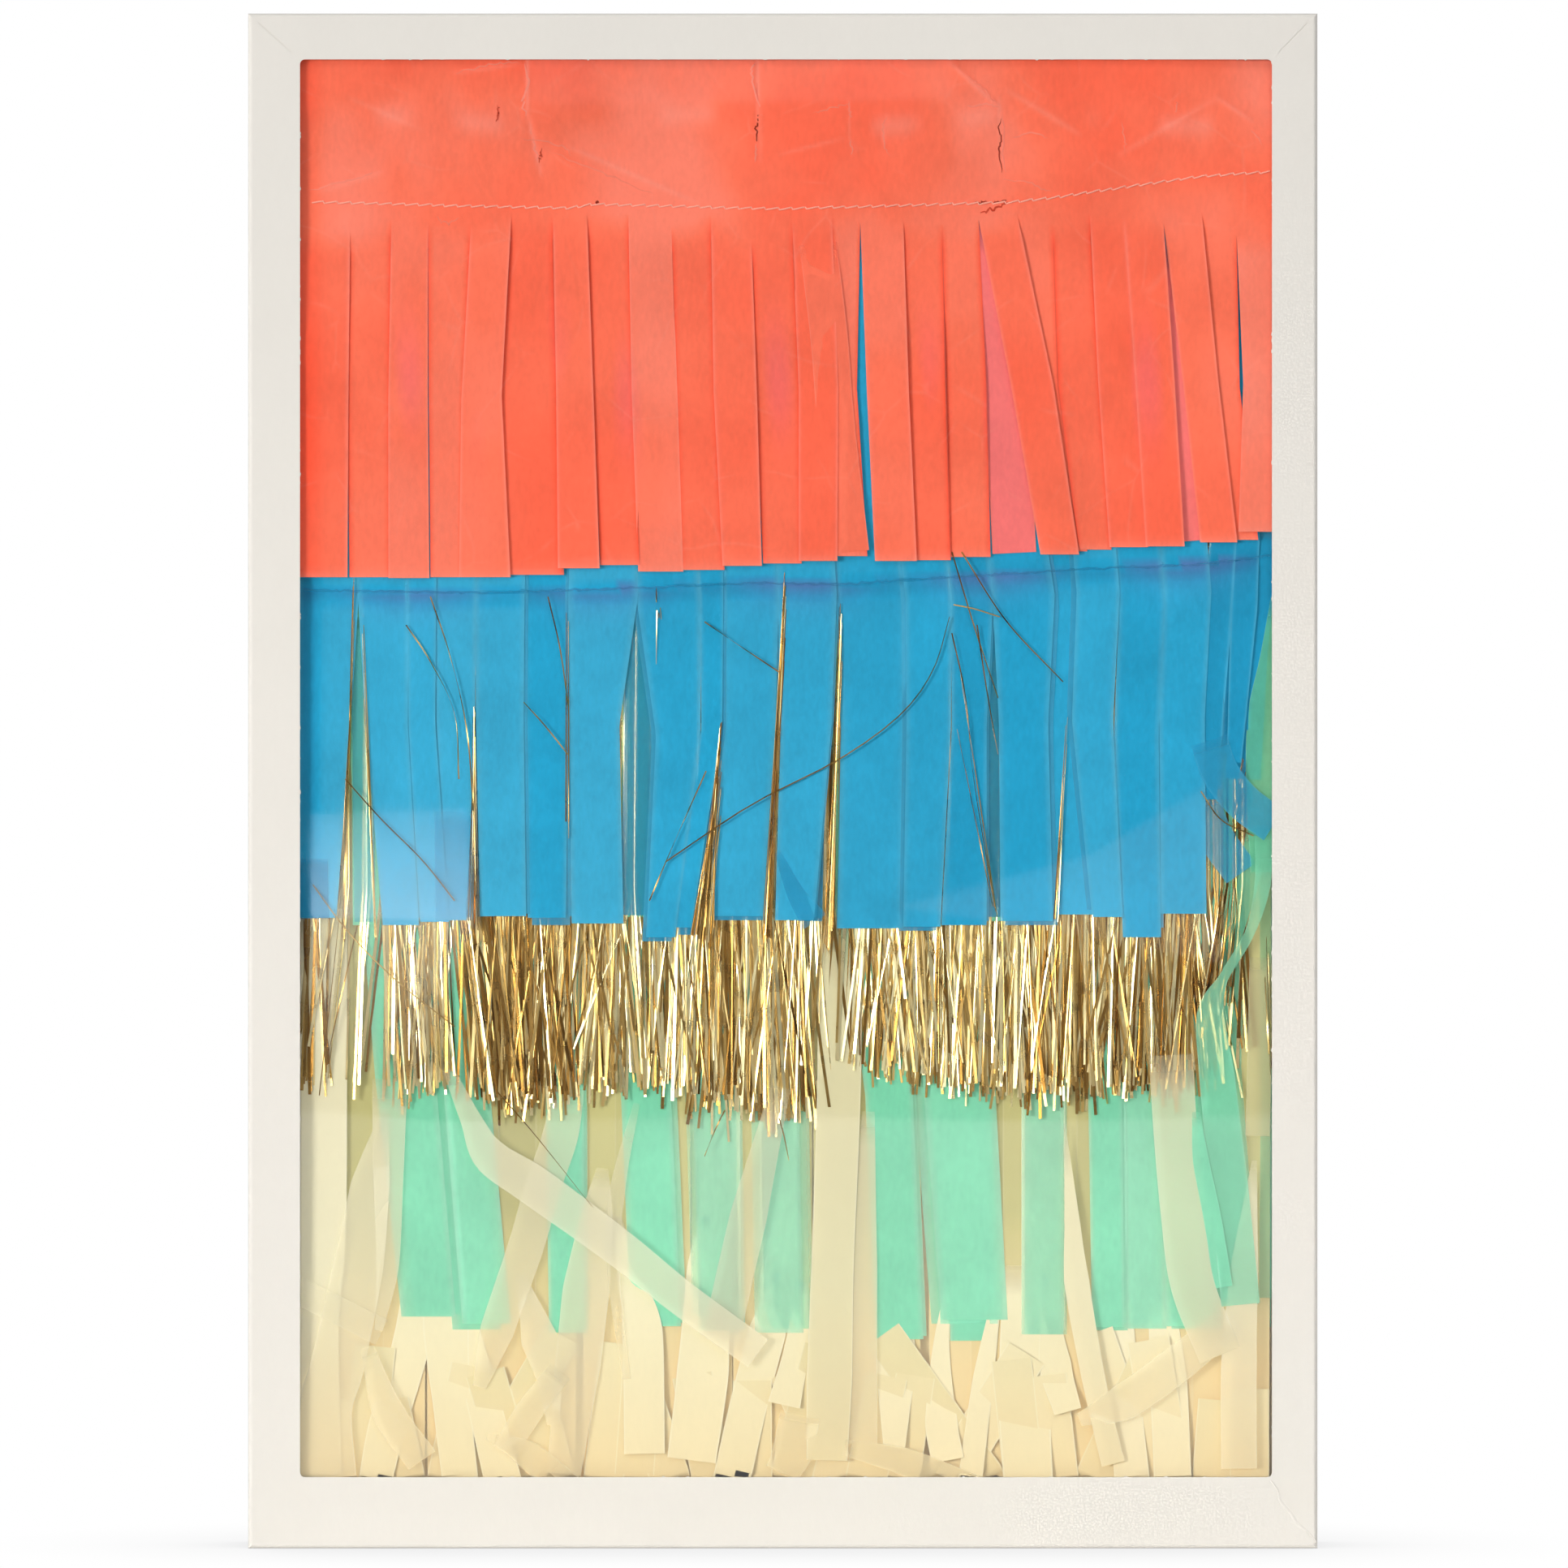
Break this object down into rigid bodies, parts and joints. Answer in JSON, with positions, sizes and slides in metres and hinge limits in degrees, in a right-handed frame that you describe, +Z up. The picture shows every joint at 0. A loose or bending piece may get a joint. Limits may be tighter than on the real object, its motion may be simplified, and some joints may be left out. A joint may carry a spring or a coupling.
{
  "type": "fringe garland",
  "caption": "Tissue and foil fringe garland folded like a concertina in a shallow white card box with a clear window and lift-off lid.",
  "frame": {"origin": "middle of the box's base, at the lowest point of the whole part", "axes": "+Z up along the fringe, -Y out of the window, X across the box"},
  "size_m": [0.216, 0.0218, 0.31],
  "materials": {
    "white_card": "matt uncoated",
    "clear_pane": "clear gloss",
    "coral_tissue": "matt tissue",
    "blue_tissue": "matt tissue",
    "gold_foil": "mirror foil",
    "mint_tissue": "matt tissue",
    "cream_tissue": "matt tissue",
    "thread": "spun"
  },
  "bodies": {
    "tray": {"tray_card": "white_card", "coral_header_8": "coral_tissue", "blue_fringe_8": "blue_tissue", "gold_fringe_8": "gold_foil", "mint_fringe_8": "mint_tissue", "cream_fringe_8": "cream_tissue", "seam_thread_8": "thread"},
    "lid": {"lid_card": "white_card", "window_pane": "clear_pane"},
    "panel_7": {"coral_header_7": "coral_tissue", "blue_fringe_7": "blue_tissue", "gold_fringe_7": "gold_foil", "mint_fringe_7": "mint_tissue", "cream_fringe_7": "cream_tissue", "seam_thread_7": "thread"},
    "panel_6": {"coral_header_6": "coral_tissue", "blue_fringe_6": "blue_tissue", "gold_fringe_6": "gold_foil", "mint_fringe_6": "mint_tissue", "cream_fringe_6": "cream_tissue", "seam_thread_6": "thread"},
    "panel_5": {"coral_header_5": "coral_tissue", "blue_fringe_5": "blue_tissue", "gold_fringe_5": "gold_foil", "mint_fringe_5": "mint_tissue", "cream_fringe_5": "cream_tissue", "seam_thread_5": "thread"},
    "panel_4": {"coral_header_4": "coral_tissue", "blue_fringe_4": "blue_tissue", "gold_fringe_4": "gold_foil", "mint_fringe_4": "mint_tissue", "cream_fringe_4": "cream_tissue", "seam_thread_4": "thread"},
    "panel_3": {"coral_header_3": "coral_tissue", "blue_fringe_3": "blue_tissue", "gold_fringe_3": "gold_foil", "mint_fringe_3": "mint_tissue", "cream_fringe_3": "cream_tissue", "seam_thread_3": "thread"},
    "panel_2": {"coral_header_2": "coral_tissue", "blue_fringe_2": "blue_tissue", "gold_fringe_2": "gold_foil", "mint_fringe_2": "mint_tissue", "cream_fringe_2": "cream_tissue", "seam_thread_2": "thread"},
    "panel_1": {"coral_header_1": "coral_tissue", "blue_fringe_1": "blue_tissue", "gold_fringe_1": "gold_foil", "mint_fringe_1": "mint_tissue", "cream_fringe_1": "cream_tissue", "seam_thread_1": "thread"}
  },
  "joints": [
    {"name": "lid_lift", "type": "slide", "parent": "tray", "child": "lid", "axis": [0, -1, 0], "range_m": [0, 0.36]},
    {"name": "fold_7", "type": "hinge", "parent": "tray", "child": "panel_7", "pos_m": [0.0995, 0.0083, 0.28465], "axis": [0, 0, 1], "range_deg": [0, 9]},
    {"name": "fold_6", "type": "hinge", "parent": "panel_7", "child": "panel_6", "pos_m": [-0.0965, 0.00575, 0.28465], "axis": [0, 0, -1], "range_deg": [0, 18]},
    {"name": "fold_5", "type": "hinge", "parent": "panel_6", "child": "panel_5", "pos_m": [0.0995, 0.0032, 0.28465], "axis": [0, 0, 1], "range_deg": [0, 18]},
    {"name": "fold_4", "type": "hinge", "parent": "panel_5", "child": "panel_4", "pos_m": [-0.0965, 0.00065, 0.28465], "axis": [0, 0, -1], "range_deg": [0, 18]},
    {"name": "fold_3", "type": "hinge", "parent": "panel_4", "child": "panel_3", "pos_m": [0.0995, -0.0019, 0.28465], "axis": [0, 0, 1], "range_deg": [0, 18]},
    {"name": "fold_2", "type": "hinge", "parent": "panel_3", "child": "panel_2", "pos_m": [-0.0965, -0.00445, 0.28465], "axis": [0, 0, -1], "range_deg": [0, 18]},
    {"name": "fold_1", "type": "hinge", "parent": "panel_2", "child": "panel_1", "pos_m": [0.0995, -0.007, 0.28465], "axis": [0, 0, 1], "range_deg": [0, 18]}
  ],
  "couplings": [
    {"joint": "fold_7", "follows": "lid_lift", "rad_per_m": 0.43611},
    {"joint": "fold_6", "follows": "lid_lift", "rad_per_m": 0.87223},
    {"joint": "fold_5", "follows": "lid_lift", "rad_per_m": 0.87223},
    {"joint": "fold_4", "follows": "lid_lift", "rad_per_m": 0.87223},
    {"joint": "fold_3", "follows": "lid_lift", "rad_per_m": 0.87223},
    {"joint": "fold_2", "follows": "lid_lift", "rad_per_m": 0.87223},
    {"joint": "fold_1", "follows": "lid_lift", "rad_per_m": 0.87223}
  ]
}
